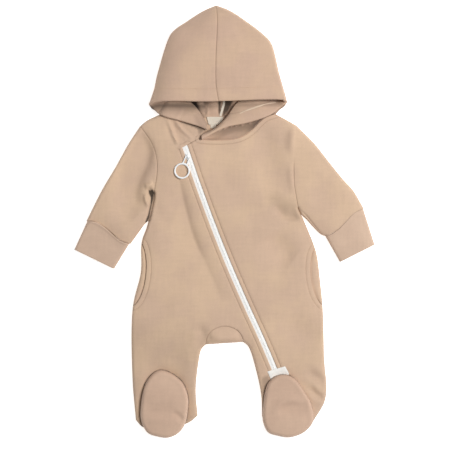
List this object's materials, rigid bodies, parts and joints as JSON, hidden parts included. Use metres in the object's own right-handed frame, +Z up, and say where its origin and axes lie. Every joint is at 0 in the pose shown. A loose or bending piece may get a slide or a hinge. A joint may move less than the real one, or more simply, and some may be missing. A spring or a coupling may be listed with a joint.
{
  "type": "hooded footed baby overalls",
  "caption": "Long-sleeved baby overalls in thick fleece with a hood, feet and a slanting zip, laid flat on their back.",
  "frame": {"origin": "on the table, in the middle of the garment's length and width", "axes": "+X to the wearer's left, +Y towards the hood, +Z up out of the front"},
  "size_m": [0.481, 0.6927, 0.0334],
  "materials": {
    "fleece": "brushed sweatshirt fleece, warm beige",
    "cuffs_and_feet": "knitted cloth, slightly pinker beige",
    "zip_tape": "woven white tape",
    "slider": "white enamel",
    "label": "woven label, bare"
  },
  "bodies": {
    "garment": {"front_right": "fleece", "front_left": "fleece", "back": "fleece", "gusset": "fleece", "pocket_right": "fleece", "pocket_left": "fleece", "sleeve_right": "fleece", "sleeve_left": "fleece", "hood_right": "fleece", "hood_left": "fleece", "cuff_right": "cuffs_and_feet", "cuff_left": "cuffs_and_feet", "foot_top_right": "cuffs_and_feet", "foot_top_left": "cuffs_and_feet", "sole_right": "cuffs_and_feet", "sole_left": "cuffs_and_feet", "zip_tape_right": "zip_tape", "zip_tape_left": "zip_tape", "zip_slider": "slider", "neck_label": "label", "zip_label": "label"},
    "zip_pull": {"zip_pull": "slider"}
  },
  "joints": [
    {"name": "zip_pull_hinge", "type": "hinge", "parent": "garment", "child": "zip_pull", "pos_m": [-0.0588, 0.103, 0.01915], "axis": [-0.925, 0.3799, 0], "range_deg": [0, 140]}
  ]
}
